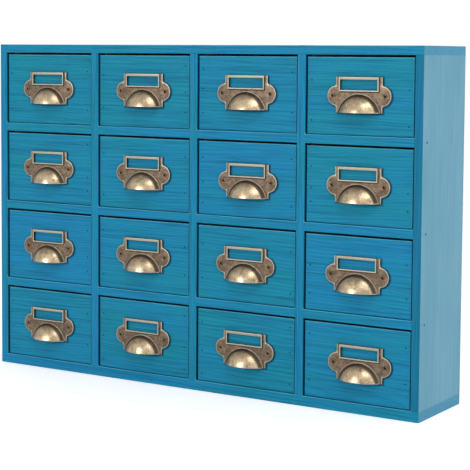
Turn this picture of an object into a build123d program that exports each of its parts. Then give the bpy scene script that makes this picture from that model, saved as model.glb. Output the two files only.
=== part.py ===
from build123d import *
import math
import os

# A tabletop cabinet of small drawers for sewing thread.
#
# A shallow nailed case of thin boards holds a grid of inset drawers. Each drawer is a front board, a tray of
# four thin boards behind it, and a cast cup pull with a window for a label card, held by two wood screws.
#
# The origin is at the centre of the case's underside. +Z is up, +X runs to the right along the drawers, and
# the drawer fronts face -Y, which is the way they slide out. Rows count from the top, columns from the left.

# ---- Case ------------------------------------------------------------------------------------------------
cabinet_width = 520.0
cabinet_height = 360.0
cabinet_depth = 97.0
columns = 4
rows = 4
shell_thickness = 9.0       # top and side boards
bottom_thickness = 10.6
divider_thickness = 9.0     # upright boards between the columns
shelf_thickness = 9.0       # level boards between the rows
back_thickness = 3.0        # panel let in between the outer boards
case_ease = 0.4             # rounding of the boards' exposed edges

# ---- Case nails ------------------------------------------------------------------------------------------
nail_shank_radius = 0.6
nail_head_radius = 1.0
nail_head_height = 0.6
nail_length = 24.0          # through an outer board into the board behind it
back_nail_length = 14.0
nail_inset = 9.0            # from a board's front or rear edge
nail_stand = 0.15           # how far a driven head stands out of a side or the back
nail_sink = 0.3             # how far heads in the top and the underside lie below the wood

# ---- Drawer fronts ---------------------------------------------------------------------------------------
front_thickness = 9.0
front_inset = 1.5           # drawer face behind the case's front
side_gap = 1.6              # each side of a drawer front
top_gap = 2.2
bottom_gap = 0.3            # running clearance under the whole drawer
front_ease = 0.8

# ---- Drawer trays ----------------------------------------------------------------------------------------
tray_side_thickness = 8.0
tray_back_thickness = 8.0
tray_floor_thickness = 3.0
tray_setback = 0.5          # tray sides behind the front board's ends
tray_drop = 8.0             # tray walls below the front board's top
tray_back_gap = 1.0         # tray to the back panel when closed

# ---- Cup pull: plate and ears ----------------------------------------------------------------------------
pull_height = 34.7
plate_width = 50.0
plate_thickness = 1.6
plate_ease = 0.5
ear_radius = 9.8
ear_reach = 34.6            # from the pull's middle to the outside of an ear
ear_height = 16.3           # ear centre above the lip
shoulder_radius = 2.6       # hollow corner between an ear and the plate's straight side
pull_rise = 1.4             # pulls' mid-height above the drawer front's mid-height
# Two pulls sit plainly off the others' place. Row and column, then how far right and up.
shifted_pulls = {(2, 3): (2.0, -2.0), (4, 4): (4.0, 0.0)}

# ---- Cup pull: label frame -------------------------------------------------------------------------------
frame_width = 43.4
frame_depth = 3.0           # from the wood to the frame's face
frame_top_border = 2.7
frame_bottom_border = 1.5
frame_ease = 0.35
window_width = 40.4
window_height = 10.1

# ---- Cup pull: cup ---------------------------------------------------------------------------------------
cup_width = 47.4            # across the rim at the lip
cup_height = 19.0           # from the lip to the top of the rim
cup_depth = 14.0            # from the wood to the crown
cup_wall = 1.3
rim_width = 1.0             # flat edge around the cup
rim_depth = 2.3             # from the wood to the flat edge
band_width = 3.5            # steep band between the rim and the crown
band_depth = 5.8            # from the wood to the top of the band

# ---- Pull screws -----------------------------------------------------------------------------------------
screw_span = 56.8           # between the two screws
screw_shank_radius = 1.1
screw_clearance = 0.15      # around the shank in the plate
screw_head_radius = 2.1
screw_head_height = 1.1
screw_head_ease = 0.5
screw_length = 6.5          # shank in the wood
screw_tip_length = 2.0
recess_span = 2.6           # cross recess in the head
recess_width = 0.6
recess_depth = 0.6

# ---- Worked out from the sizes above ---------------------------------------------------------------------
case_front = -cabinet_depth / 2
case_rear = cabinet_depth / 2
panel_face = case_rear - back_thickness
inner_width = cabinet_width - 2 * shell_thickness
inner_height = cabinet_height - shell_thickness - bottom_thickness
cell_width = (inner_width - (columns - 1) * divider_thickness) / columns
cell_height = (inner_height - (rows - 1) * shelf_thickness) / rows
column_pitch = cell_width + divider_thickness
row_pitch = cell_height + shelf_thickness

front_width = cell_width - 2 * side_gap
front_height = cell_height - top_gap - bottom_gap
front_face = case_front + front_inset
front_rear = front_face + front_thickness
tray_width = front_width - 2 * tray_setback
tray_height = front_height - tray_drop
tray_rear = panel_face - tray_back_gap

frame_height = frame_top_border + window_height + frame_bottom_border
ear_offset = ear_reach - ear_radius
cup_radius = (cup_width ** 2 / 4 + cup_height ** 2) / (2 * cup_height)
cup_axis_height = cup_height - cup_radius
pull_lip_height = bottom_gap + front_height / 2 + pull_rise - pull_height / 2


def column_centre(column):
    return (column - (columns - 1) / 2) * column_pitch


def cell_floor(row):
    return cabinet_height - shell_thickness - row * row_pitch - cell_height


def divider_centre(number):
    return (column_centre(number) + column_centre(number + 1)) / 2


def block(low, high):
    """A squared board between two opposite corners."""
    size = [top - bottom for bottom, top in zip(low, high)]
    middle = [(top + bottom) / 2 for bottom, top in zip(low, high)]
    return Pos(*middle) * Box(*size)


# ---- Case boards -----------------------------------------------------------------------------------------
def cap_board(underside, upper_face, outward):
    """The top or bottom board. It runs over the side boards; outward is +1 on top and -1 below."""
    half = cabinet_width / 2
    board = block((-half, case_front, underside), (half, case_rear, upper_face))
    outer_face = board.faces().sort_by(Axis.Z)[-1 if outward > 0 else 0]
    inner_front = board.edges().filter_by(Axis.X).group_by(Axis.Y)[0].sort_by(Axis.Z)[0 if outward > 0 else -1]
    return fillet(outer_face.edges() + board.edges().filter_by(Axis.Z) + [inner_front], case_ease)


def side_board(hand):
    """A side board between the top and the bottom; hand is -1 on the left and +1 on the right."""
    inner, outer = sorted((hand * inner_width / 2, hand * cabinet_width / 2), key=abs)
    board = block((min(inner, outer), case_front, bottom_thickness),
                  (max(inner, outer), case_rear, cabinet_height - shell_thickness))
    upright = board.edges().filter_by(Axis.Z)
    outer_rear = upright.group_by(Axis.Y)[-1].sort_by(Axis.X)[0 if hand < 0 else -1]
    return fillet(upright.group_by(Axis.Y)[0] + [outer_rear], case_ease)


def divider(number):
    """An upright board between two columns, from the bottom board to the top board."""
    middle = divider_centre(number)
    board = block((middle - divider_thickness / 2, case_front, bottom_thickness),
                  (middle + divider_thickness / 2, panel_face, cabinet_height - shell_thickness))
    return fillet(board.edges().filter_by(Axis.Z).group_by(Axis.Y)[0], case_ease)


def shelf_row(number):
    """The short level boards between two rows, one in each column."""
    floor = cell_floor(number)
    boards = []
    for column in range(columns):
        middle = column_centre(column)
        board = block((middle - cell_width / 2, case_front, floor - shelf_thickness),
                      (middle + cell_width / 2, panel_face, floor))
        boards.append(fillet(board.edges().filter_by(Axis.X).group_by(Axis.Y)[0], case_ease))
    return Compound(boards)


def back_panel():
    half = inner_width / 2
    return block((-half, panel_face, bottom_thickness), (half, case_rear, cabinet_height - shell_thickness))


def nail(head, direction, length):
    """A nail whose head's outer face is centred on head, driven along direction."""
    cap = Cylinder(nail_head_radius, nail_head_height, align=(Align.CENTER, Align.CENTER, Align.MIN))
    shank = Cylinder(nail_shank_radius, length, align=(Align.CENTER, Align.CENTER, Align.MIN))
    return Plane(origin=head, z_dir=direction) * (cap + shank)


def case_nails():
    """Nails through the sides into the shelves, through the top and bottom into every upright, and through
    the back panel into the dividers."""
    front_row = case_front + nail_inset
    side_head = cabinet_width / 2 + nail_stand
    side_line = (cabinet_width - shell_thickness) / 2
    driven = []
    for row in range(rows - 1):
        level = cell_floor(row) - shelf_thickness / 2
        for hand in (-1, 1):
            driven.append(nail((hand * side_head, front_row, level), (-hand, 0, 0), nail_length))
    uprights = [(-side_line, case_rear), (side_line, case_rear)]
    uprights += [(divider_centre(number), panel_face) for number in range(columns - 1)]
    for x, upright_rear in uprights:
        for y in (front_row, upright_rear - nail_inset):
            driven.append(nail((x, y, cabinet_height - nail_sink), (0, 0, -1), nail_length))
            driven.append(nail((x, y, nail_sink), (0, 0, 1), nail_length))
    for number in range(columns - 1):
        for row in range(rows):
            head = (divider_centre(number), case_rear + nail_stand, cell_floor(row) + cell_height / 2)
            driven.append(nail(head, (0, -1, 0), back_nail_length))
    return Compound(driven)


# ---- Drawer, made in a cell whose floor is at Z = 0 and whose middle is at X = 0 ---------------------------
def drawer_front():
    board = block((-front_width / 2, front_face, bottom_gap),
                  (front_width / 2, front_rear, bottom_gap + front_height))
    return fillet(board.faces().sort_by(Axis.Y)[0].edges(), front_ease)


def drawer_tray():
    """Two sides that butt against the front board, a back between them, and a thin floor under all three."""
    half = tray_width / 2
    floor_top = bottom_gap + tray_floor_thickness
    wall_top = bottom_gap + tray_height
    inside = half - tray_side_thickness
    floor = block((-half, front_rear, bottom_gap), (half, tray_rear, floor_top))
    left = block((-half, front_rear, floor_top), (-inside, tray_rear, wall_top))
    right = block((inside, front_rear, floor_top), (half, tray_rear, wall_top))
    rear = block((-inside, tray_rear - tray_back_thickness, floor_top), (inside, tray_rear, wall_top))
    return Compound([floor, left, right, rear])


# ---- Pull, made on the wood: Y = 0 is the drawer's face, -Y points out and Z = 0 is the cup's lip -----------
def pull_plate():
    """The flat plate with two round ears."""
    outline = Pos(0, pull_height / 2) * Rectangle(plate_width, pull_height)
    for hand in (-1, 1):
        outline += Pos(hand * ear_offset, ear_height) * Circle(ear_radius)
    corners = [v for v in outline.vertices() if abs(abs(v.X) - plate_width / 2) < 0.01
               and 0.01 < v.Y < pull_height - 0.01]
    outline = fillet(corners, shoulder_radius)
    plate = extrude(Plane.XZ * outline, plate_thickness)
    return fillet(plate.faces().sort_by(Axis.Y)[0].edges(), plate_ease)


def label_frame():
    """The raised frame at the top of the plate."""
    outline = Pos(0, pull_height - frame_height / 2) * Rectangle(frame_width, frame_height)
    frame = extrude(Plane.XZ * outline, frame_depth)
    return fillet(frame.faces().sort_by(Axis.Y)[0].edges(), frame_ease)


def label_window():
    """The opening in the frame, through to the wood."""
    middle = pull_height - frame_top_border - window_height / 2
    return extrude(Plane.XZ * Pos(0, middle) * Rectangle(window_width, window_height), frame_depth)


def turned(profile_line):
    """A solid of revolution about the cup's axis, from a line of points and arcs in the level plane."""
    level = Plane(origin=(0, 0, cup_axis_height), x_dir=(1, 0, 0), z_dir=(0, 0, 1))
    return revolve(level * make_face(profile_line), Axis((0, 0, cup_axis_height), (0, 1, 0)))


def crown_arc(shoulder, crown):
    """An arc from the shoulder point to the crown on the axis, level at the crown."""
    run, rise = shoulder[0], crown - shoulder[1]
    radius = (run ** 2 + rise ** 2) / (2 * rise)
    half_angle = math.asin(run / radius) / 2
    middle = (radius * math.sin(half_angle), -(crown - radius * (1 - math.cos(half_angle))))
    return ThreePointArc((run, -shoulder[1]), middle, (0, -crown))


def cup_outside():
    shoulder = (cup_radius - rim_width - band_width, band_depth)
    rim_inner = cup_radius - rim_width
    line = Polyline((0, -cup_depth), (0, 0), (cup_radius, 0), (cup_radius, -rim_depth), (rim_inner, -rim_depth),
                    (shoulder[0], -shoulder[1]))
    return turned(line + crown_arc(shoulder, cup_depth))


def cup_hollow():
    """The hollow under the crown, open to the wood and, past the lip, to the fingers."""
    shoulder = (cup_radius - rim_width - band_width - cup_wall / 2, band_depth - cup_wall)
    mouth = cup_radius - rim_width - cup_wall
    crown = cup_depth - cup_wall
    line = Polyline((0, -crown), (0, 0), (mouth, 0), (mouth, -plate_thickness), (shoulder[0], -shoulder[1]))
    return turned(line + crown_arc(shoulder, crown))


def pull_casting():
    above_lip = block((-cup_width, -2 * cup_depth, 0), (cup_width, 0, pull_height))
    casting = pull_plate() + label_frame() + (cup_outside() & above_lip)
    casting -= cup_hollow()
    casting -= label_window()
    hole_radius = screw_shank_radius + screw_clearance
    for hand in (-1, 1):
        hole = Pos(hand * screw_span / 2, ear_height) * Circle(hole_radius)
        casting -= extrude(Plane.XZ * hole, plate_thickness)
    return casting


def pull_screw(x):
    """A wood screw with a low round head and a cross recess, through an ear of the plate."""
    under_head = Plane(origin=(x, -plate_thickness, ear_height), x_dir=(1, 0, 0), z_dir=(0, -1, 0))
    head = Cylinder(screw_head_radius, screw_head_height, align=(Align.CENTER, Align.CENTER, Align.MIN))
    head = fillet(head.faces().sort_by(Axis.Z)[-1].edges(), screw_head_ease)
    for size in ((recess_span, recess_width), (recess_width, recess_span)):
        head -= Pos(0, 0, screw_head_height - recess_depth / 2) * Box(*size, recess_depth)
    shank_length = plate_thickness + screw_length - screw_tip_length
    shank = Pos(0, 0, -shank_length / 2) * Cylinder(screw_shank_radius, shank_length)
    tip = Pos(0, 0, -shank_length - screw_tip_length / 2) * Rot(180, 0, 0) * Cone(
        screw_shank_radius, screw_shank_radius / 5, screw_tip_length)
    return under_head * (head + shank + tip)


def pull_position(row, column):
    """Where a pull's lip meets its drawer front."""
    sideways, lift = shifted_pulls.get((row + 1, column + 1), (0.0, 0.0))
    return Pos(sideways, front_face, pull_lip_height + lift)


# ---- Every node --------------------------------------------------------------------------------------------
def case_nodes():
    nodes = {
        "top_board": cap_board(cabinet_height - shell_thickness, cabinet_height, 1),
        "bottom_board": cap_board(0, bottom_thickness, -1),
        "left_side": side_board(-1),
        "right_side": side_board(1),
        "back_panel": back_panel(),
        "case_nails": case_nails(),
    }
    for number in range(columns - 1):
        nodes[f"divider_{number + 1}"] = divider(number)
    for number in range(rows - 1):
        nodes[f"shelf_row_{number + 1}"] = shelf_row(number)
    return nodes


def drawer_nodes():
    front, tray = drawer_front(), drawer_tray()
    pull = Compound([pull_casting()] + [pull_screw(hand * screw_span / 2) for hand in (-1, 1)])
    nodes = {}
    for row in range(rows):
        for column in range(columns):
            cell = Pos(column_centre(column), 0, cell_floor(row))
            tag = f"r{row + 1}c{column + 1}"
            nodes[f"drawer_front_{tag}"] = cell * front
            nodes[f"drawer_tray_{tag}"] = cell * tray
            nodes[f"drawer_pull_{tag}"] = cell * pull_position(row, column) * pull
    return nodes


os.makedirs("parts", exist_ok=True)
for node_name, shape in {**case_nodes(), **drawer_nodes()}.items():
    export_step(shape, f"parts/{node_name}.step")
print("cell", cell_width, cell_height, "front", front_width, front_height, "lip", pull_lip_height)
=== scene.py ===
# %% [markdown]
# # A cabinet of small drawers for sewing thread
#
# The cabinet is a shallow nailed case of thin boards, stained a clear blue that lets the grain through.
# Sixteen small drawers fill it, each with an aged brass pull that has a label window above a cup. The boards
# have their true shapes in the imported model, so this lesson gives them their stain, and models the pulls,
# screws and drawer brads as finer pieces. The first cell loads that model, in metres.

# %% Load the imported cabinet
import math
import random

import bmesh
import bpy
from mathutils import Matrix, Vector


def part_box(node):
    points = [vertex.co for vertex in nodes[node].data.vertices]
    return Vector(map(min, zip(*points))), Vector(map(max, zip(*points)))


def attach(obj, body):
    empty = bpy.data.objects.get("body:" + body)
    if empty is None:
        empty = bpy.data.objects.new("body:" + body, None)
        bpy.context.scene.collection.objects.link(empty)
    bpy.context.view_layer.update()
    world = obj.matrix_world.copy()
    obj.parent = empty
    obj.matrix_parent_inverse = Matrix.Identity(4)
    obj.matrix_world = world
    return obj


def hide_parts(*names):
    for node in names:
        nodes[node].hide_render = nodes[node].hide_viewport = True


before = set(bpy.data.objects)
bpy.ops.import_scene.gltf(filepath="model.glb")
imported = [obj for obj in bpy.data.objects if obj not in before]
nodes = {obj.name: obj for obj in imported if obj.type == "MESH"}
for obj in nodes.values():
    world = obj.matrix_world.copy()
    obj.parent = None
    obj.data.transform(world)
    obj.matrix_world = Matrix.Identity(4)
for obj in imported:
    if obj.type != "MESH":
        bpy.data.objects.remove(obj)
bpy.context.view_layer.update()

MM = 0.001
DRAWERS = [(row, column) for row in range(1, 5) for column in range(1, 5)]

# %% [markdown]
# ## The cabinet's own measures
#
# Stain, wear and pulls all follow the grid of drawers. The sizes could be typed again, but they are read
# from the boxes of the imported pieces, so the finish follows when the cabinet is resized.

# %% Measure the grid
case_low = Vector(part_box("bottom_board")[0])
case_high = Vector(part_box("top_board")[1])
front_low, front_high = (Vector(corner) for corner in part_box("drawer_front_r1c1"))
next_low = Vector(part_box("drawer_front_r2c2")[0])
side_thickness = case_high.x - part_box("right_side")[0][0]
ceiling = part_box("top_board")[0][2]
lowest_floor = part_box("bottom_board")[1][2]
column_pitch = next_low.x - front_low.x
row_pitch = front_low.z - next_low.z
cell_width = column_pitch - (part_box("divider_1")[1][0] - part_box("divider_1")[0][0])
cell_height = row_pitch - (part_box("shelf_row_1")[1][2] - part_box("shelf_row_1")[0][2])
front_size = front_high - front_low
middle_height = (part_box("shelf_row_2")[0][2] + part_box("shelf_row_2")[1][2]) / 2
front_rise = (front_low.z + front_high.z) / 2 - (middle_height + 1.5 * row_pitch)
print("pitch", round(column_pitch, 4), round(row_pitch, 4))
print("cell", round(cell_width, 4), round(cell_height, 4))

# %% [markdown]
# ## The pull's measures
#
# All the pulls are one casting, so its sizes are written once, in millimetres, with the lip of the cup as
# the zero of height. The meshes, the brass and the painted shadow on the wood round each plate all use
# them.

# %% Pull measures
PULL_HEIGHT = 34.7
PLATE_WIDTH = 50.0
PLATE_THICKNESS = 1.6
EAR_RADIUS = 9.8
EAR_REACH = 34.6
EAR_HEIGHT = 16.3
SHOULDER = 2.6
FRAME_WIDTH = 43.4
FRAME_DEPTH = 3.0
FRAME_HEIGHT = 14.3
WINDOW_WIDTH = 40.4
WINDOW_HEIGHT = 10.1
WINDOW_TOP = PULL_HEIGHT - 2.7
CUP_WIDTH = 47.4
CUP_HEIGHT = 19.0
CUP_DEPTH = 14.0
CUP_WALL = 1.3
RIM_WIDTH = 1.0
RIM_DEPTH = 2.3
BAND_WIDTH = 3.5
BAND_DEPTH = 5.8
SCREW_SPAN = 56.8
CUP_RADIUS = (CUP_WIDTH ** 2 / 4 + CUP_HEIGHT ** 2) / (2 * CUP_HEIGHT)
CUP_AXIS = CUP_HEIGHT - CUP_RADIUS
SHOULDER_RADIUS = CUP_RADIUS - RIM_WIDTH - BAND_WIDTH
MOUTH_RADIUS = CUP_RADIUS - RIM_WIDTH - CUP_WALL
print("cup radius", round(CUP_RADIUS, 2), "axis", round(CUP_AXIS, 2))

# %% [markdown]
# ## Small helpers for shader nodes
#
# A material is a graph of nodes. It could be wired by hand in the Shader Editor, but every board here has a
# figure of its own, so the graphs are written as sums instead. `place` adds a node and `feed` fills its
# sockets, `calc` and its three short forms do the arithmetic, `fade` turns a distance into a soft mask from
# 0 to 1, `blend` mixes two colours and `noise` makes a cloud that can be stretched along the grain.

# %% Node helpers
def feed(tree, node, inputs):
    """Links each node output, or writes each plain value, to the input it is given for."""
    for socket, value in inputs.items():
        if isinstance(value, bpy.types.NodeSocket):
            tree.links.new(value, node.inputs[socket])
        else:
            node.inputs[socket].default_value = value


def place(tree, kind, inputs=None, **settings):
    node = tree.nodes.new("ShaderNode" + kind)
    for name, value in settings.items():
        setattr(node, name, value)
    feed(tree, node, inputs or {})
    return node


def calc(tree, operation, *values, clamp=False):
    node = place(tree, "Math", dict(enumerate(values)), operation=operation, use_clamp=clamp)
    return node.outputs[0]


def times(tree, first, second, clamp=False):
    return calc(tree, "MULTIPLY", first, second, clamp=clamp)


def less(tree, first, second):
    return calc(tree, "SUBTRACT", first, second)


def unsigned(tree, value):
    return calc(tree, "ABSOLUTE", value)


def fade(tree, value, start, end):
    """0 where value is at start, 1 where it is at end, with a soft step between."""
    sockets = {"Value": value, "From Min": start, "From Max": end}
    return place(tree, "MapRange", sockets, interpolation_type="SMOOTHSTEP").outputs[0]


def blend(tree, amount, first, second):
    """The first colour where amount is 0, the second where it is 1."""
    return place(tree, "Mix", {0: amount, 6: first, 7: second}, data_type="RGBA").outputs[2]


def noise(tree, vector, stretch, detail=3.0, roughness=0.5, distortion=0.0):
    """Noise whose features are 1 / stretch metres long along each axis."""
    scaled = place(tree, "VectorMath", {0: vector, 1: stretch}, operation="MULTIPLY").outputs[0]
    sockets = {"Vector": scaled, "Scale": 1.0, "Detail": detail, "Roughness": roughness,
               "Distortion": distortion}
    return place(tree, "TexNoise", sockets).outputs[0]


print("node helpers ready")

# %% [markdown]
# ## Groups and materials
#
# Grain, worn edges and stain are used by many boards. Each could be copied into every material, but a node
# group is built once and placed in each with its own values. A group here only works out colours and masks,
# and the Principled BSDF stays in the material.

# %% Group and material helpers
BUMP_STRENGTH = 0.3


def start_group(name, inputs, outputs):
    tree = bpy.data.node_groups.new(name, "ShaderNodeTree")
    for side, sockets in (("INPUT", inputs), ("OUTPUT", outputs)):
        for socket, kind in sockets.items():
            tree.interface.new_socket(name=socket, in_out=side, socket_type="NodeSocket" + kind)
    return tree, tree.nodes.new("NodeGroupInput").outputs, tree.nodes.new("NodeGroupOutput").inputs


def put_out(tree, sockets, results):
    for name, value in results.items():
        tree.links.new(value, sockets[name])


def use_group(tree, group, inputs):
    return place(tree, "Group", inputs, node_tree=group).outputs


def start_material(name):
    material = bpy.data.materials.new(name)
    material.use_nodes = True
    return material, material.node_tree


def surface(tree, inputs):
    feed(tree, tree.nodes["Principled BSDF"], inputs)


def engraved(tree, height, depth):
    """A normal that tilts as if the pattern of heights were cut up to depth deep."""
    return place(tree, "Bump", {"Height": height, "Strength": BUMP_STRENGTH, "Distance": depth}).outputs[0]


def dress(node_name, material):
    nodes[node_name].material_slots[0].material = material


print("group and material helpers ready")

# %% [markdown]
# ## Wood grain
#
# A board is cut from a tree whose growth rings are long, slightly tapering tubes. A flat cut through them
# draws the arches and lines of the grain. A picture of wood could be wrapped round each board, but it would
# show seams at the corners. The group does what the saw does: it measures the distance from a far axis, lets
# it drift along the board, and folds it into rings. Fibres are noise that is stretched more than forty times
# along the grain, and a slow noise gives the blotches where stain soaks in unevenly. The grain always runs
# along the group's own X, so an upright board feeds it turned coordinates.

# %% Grain group
HEART_LEAN = 0.045
RING_WOBBLE = 0.009
RING_DARKENS = (0.25, 0.9)
RING_ENDS = (1.0, 0.93)
FINE_SHARE = 0.45
FIGURE = {"Rings": "Float", "Fibres": "Float", "Blotches": "Float"}

grain, given, made = start_group(
    "Board grain", {"Position": "Vector", "Shift": "Vector", "Ring spacing": "Float"}, FIGURE)
moved = place(grain, "VectorMath", {0: given["Position"], 1: given["Shift"]}, operation="ADD").outputs[0]
wobble = noise(grain, moved, (7, 22, 22), detail=2)
axes = place(grain, "SeparateXYZ", {0: moved}).outputs
sway = calc(grain, "MULTIPLY_ADD", wobble, RING_WOBBLE, times(grain, axes["X"], HEART_LEAN))
across = times(grain, axes["Y"], axes["Y"])
up = times(grain, axes["Z"], axes["Z"])
from_heart = calc(grain, "ADD", calc(grain, "SQRT", calc(grain, "ADD", across, up)), sway)
turn = calc(grain, "FRACT", calc(grain, "DIVIDE", from_heart, given["Ring spacing"]))
late_wood = times(grain, fade(grain, turn, *RING_DARKENS), fade(grain, turn, *RING_ENDS))
coarse = noise(grain, moved, (9, 420, 420), detail=3, roughness=0.6)
fine = noise(grain, moved, (26, 1100, 1100), detail=3, roughness=0.7)
fibres = calc(grain, "MULTIPLY_ADD", fine, FINE_SHARE, times(grain, coarse, 1 - FINE_SHARE))
blotches = noise(grain, moved, (8, 26, 26), detail=2, distortion=0.6)
put_out(grain, made, {"Rings": late_wood, "Fibres": fibres, "Blotches": blotches})
print("grain group", len(grain.nodes), "nodes")

# %% [markdown]
# ## Where the drawers' outlines run
#
# The cabinet's sharp corners are rubbed pale and also carry a painted highlight, which draws a thin light
# line round every opening and every drawer front. The lines could be painted board by board. Because the
# openings repeat, one group can find all of them instead: it wraps the position into a single cell and
# measures how far a point lies from a rectangle in that cell. The line is stronger on some edges than on
# others, so it also says how far a point is from the rectangle's top, foot and right side.

# %% Outline group
grid, given, made = start_group(
    "Distance to a drawer outline",
    {"Position": "Vector", "Half width": "Float", "Half height": "Float", "Rise": "Float"},
    {"Distance": "Float", "Below top": "Float", "Above foot": "Float", "Off right": "Float"})
axes = place(grid, "SeparateXYZ", {0: given["Position"]}).outputs
across = calc(grid, "ADD", axes["X"], column_pitch / 2)
in_column = calc(grid, "WRAP", across, column_pitch / 2, -column_pitch / 2)
level = calc(grid, "ADD", axes["Z"], row_pitch / 2 - middle_height)
in_row = less(grid, calc(grid, "WRAP", level, row_pitch / 2, -row_pitch / 2), given["Rise"])
past_side = less(grid, unsigned(grid, in_column), given["Half width"])
past_top = less(grid, unsigned(grid, in_row), given["Half height"])
side_out = calc(grid, "MAXIMUM", past_side, 0.0)
top_out = calc(grid, "MAXIMUM", past_top, 0.0)
squares = calc(grid, "MULTIPLY_ADD", side_out, side_out, times(grid, top_out, top_out))
inside = calc(grid, "MINIMUM", calc(grid, "MAXIMUM", past_side, past_top), 0.0)
put_out(grid, made, {
    "Distance": calc(grid, "ADD", calc(grid, "SQRT", squares), inside),
    "Below top": less(grid, in_row, given["Half height"]),
    "Above foot": calc(grid, "ADD", in_row, given["Half height"]),
    "Off right": less(grid, in_column, given["Half width"]),
})
print("outline group", len(grid.nodes), "nodes")

# %% [markdown]
# ## Worn and highlit edges
#
# A real worn corner is never even: in places the rubbing reaches a millimetre in, and in others the stain is
# whole. A bevel with a colour of its own would give a line of one width, so this group takes the distance
# from an edge and lets noise widen and narrow the line. The same line also carries a painted highlight on
# the edges.

# %% Worn and highlit edge group
PATCH_SPREAD = 1.6
PATCH_LEAST = 0.2
WORN_THROUGH = (1.0, 0.25)

edge_line_group, given, made = start_group(
    "Worn edge", {"Position": "Vector", "Distance": "Float", "Width": "Float"}, {"Wear": "Float"})
patchy = noise(edge_line_group, given["Position"], (45, 45, 45), detail=4, roughness=0.65)
uneven = calc(edge_line_group, "MULTIPLY_ADD", patchy, PATCH_SPREAD, PATCH_LEAST)
reach = times(edge_line_group, given["Width"], uneven)
near = calc(edge_line_group, "DIVIDE", unsigned(edge_line_group, given["Distance"]), reach)
put_out(edge_line_group, made, {"Wear": fade(edge_line_group, near, *WORN_THROUGH)})
print("worn edge group", len(edge_line_group.nodes), "nodes")

# %% [markdown]
# ## Blue stain and bare wood
#
# The stain is thin, so the wood keeps its figure: fibres and late wood take more colour, and open early wood
# stays paler. Blotches pull the blue towards green. A flat blue would look like paint, so the group mixes
# three colours by the figure and adds the light edge line, rubbed stain with a painted highlight, last. Bare
# wood uses the same figure with pale tan colours, for the trays and the case's inside.

# %% Stain group
STAIN_BLUE = (0.008, 0.216, 0.412, 1)
STAIN_TEAL = (0.006, 0.232, 0.312, 1)
STAIN_DEEP = (0.001, 0.085, 0.170, 1)
# Colour of the light edge line: rubbed stain with a painted highlight.
STAIN_WORN_AND_LIT = (0.090, 0.380, 0.510, 1)
GREEN_BLOTCHES = (0.35, 0.7)
GREEN_SHARE = 0.6
SOAKED_FIBRES = (0.44, 0.66)
SOAKED_SHARE = 0.6
LATE_WOOD_SHARE = 0.22
WORN_AND_LIT_SHARE = 0.95

stain, given, made = start_group(
    "Blue stain", {**FIGURE, "Wear": "Float", "Green": "Float"}, {"Color": "Color"})
greenish = fade(stain, given["Blotches"], *GREEN_BLOTCHES)
greener = calc(stain, "MULTIPLY_ADD", greenish, GREEN_SHARE, given["Green"], clamp=True)
soaked = times(stain, fade(stain, given["Fibres"], *SOAKED_FIBRES), SOAKED_SHARE)
colour = blend(stain, greener, STAIN_BLUE, STAIN_TEAL)
colour = blend(stain, soaked, colour, STAIN_DEEP)
colour = blend(stain, times(stain, given["Rings"], LATE_WOOD_SHARE), colour, STAIN_DEEP)
colour = blend(stain, times(stain, given["Wear"], WORN_AND_LIT_SHARE), colour, STAIN_WORN_AND_LIT)
put_out(stain, made, {"Color": colour})
print("stain group", len(stain.nodes), "nodes")

# %% Bare wood group
TAN_PALE = (0.640, 0.470, 0.280, 1)
TAN_DARK = (0.400, 0.245, 0.120, 1)
TAN_RINGS = 0.35
TAN_FIBRES = (0.4, 0.75)
TAN_FIBRE_SHARE = 0.4

bare, given, made = start_group("Bare wood", FIGURE, {"Color": "Color"})
dark_rings = times(bare, given["Rings"], TAN_RINGS)
dark_fibres = fade(bare, given["Fibres"], *TAN_FIBRES)
darker = calc(bare, "MULTIPLY_ADD", dark_fibres, TAN_FIBRE_SHARE, dark_rings, clamp=True)
put_out(bare, made, {"Color": blend(bare, darker, TAN_PALE, TAN_DARK)})
print("bare wood group", len(bare.nodes), "nodes")

# %% [markdown]
# ## Painted shadow round the pulls
#
# A painted shadow lies on the wood round each plate, in a thin dark line that is wider on the right and
# below. It could be a ring of its own just above the wood. As part of the board's own colour it can't come
# loose, so the plate's outline is measured again here.

# %% Painted shadow on the wood
PLATE_SHADOW_DRIFT = 0.8
PLATE_SHADOW_WIDTH = 1.7
PLATE_SHADOW_FULL = 0.1
PLATE_SHADOW_UNDER_PLATE = (-1.4, -0.8)


def away(tree, across, up, x, z):
    """How far the point (across, up) is from (x, z)."""
    run = less(tree, across, x)
    rise = less(tree, up, z)
    return calc(tree, "SQRT", calc(tree, "MULTIPLY_ADD", run, run, times(tree, rise, rise)))


def outside_ear(tree, aside, level):
    """How far a point lies outside the round of an ear, in millimetres."""
    from_middle = away(tree, aside, level, EAR_REACH - EAR_RADIUS, EAR_HEIGHT)
    return less(tree, from_middle, EAR_RADIUS)


def painted_plate_shadow(tree, axes, pull_middle, lip):
    """Painted shadow on the wood round a pull's plate, a little more of it on the right and below."""
    across = calc(tree, "DIVIDE", less(tree, axes["X"], pull_middle), MM)
    aside = unsigned(tree, less(tree, across, PLATE_SHADOW_DRIFT))
    level = calc(tree, "DIVIDE", less(tree, axes["Z"], lip), MM)
    level = calc(tree, "ADD", level, PLATE_SHADOW_DRIFT)
    past_lip = times(tree, level, -1.0)
    past_ends = calc(tree, "MAXIMUM", past_lip, less(tree, level, PULL_HEIGHT))
    outside_plate = calc(tree, "MAXIMUM", less(tree, aside, PLATE_WIDTH / 2), past_ends)
    edge = calc(tree, "MINIMUM", outside_ear(tree, aside, level), outside_plate)
    near_plate = fade(tree, edge, PLATE_SHADOW_WIDTH, PLATE_SHADOW_FULL)
    return times(tree, near_plate, fade(tree, edge, *PLATE_SHADOW_UNDER_PLATE))


print("plate_shadow", PLATE_SHADOW_WIDTH, "mm wide")
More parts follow.
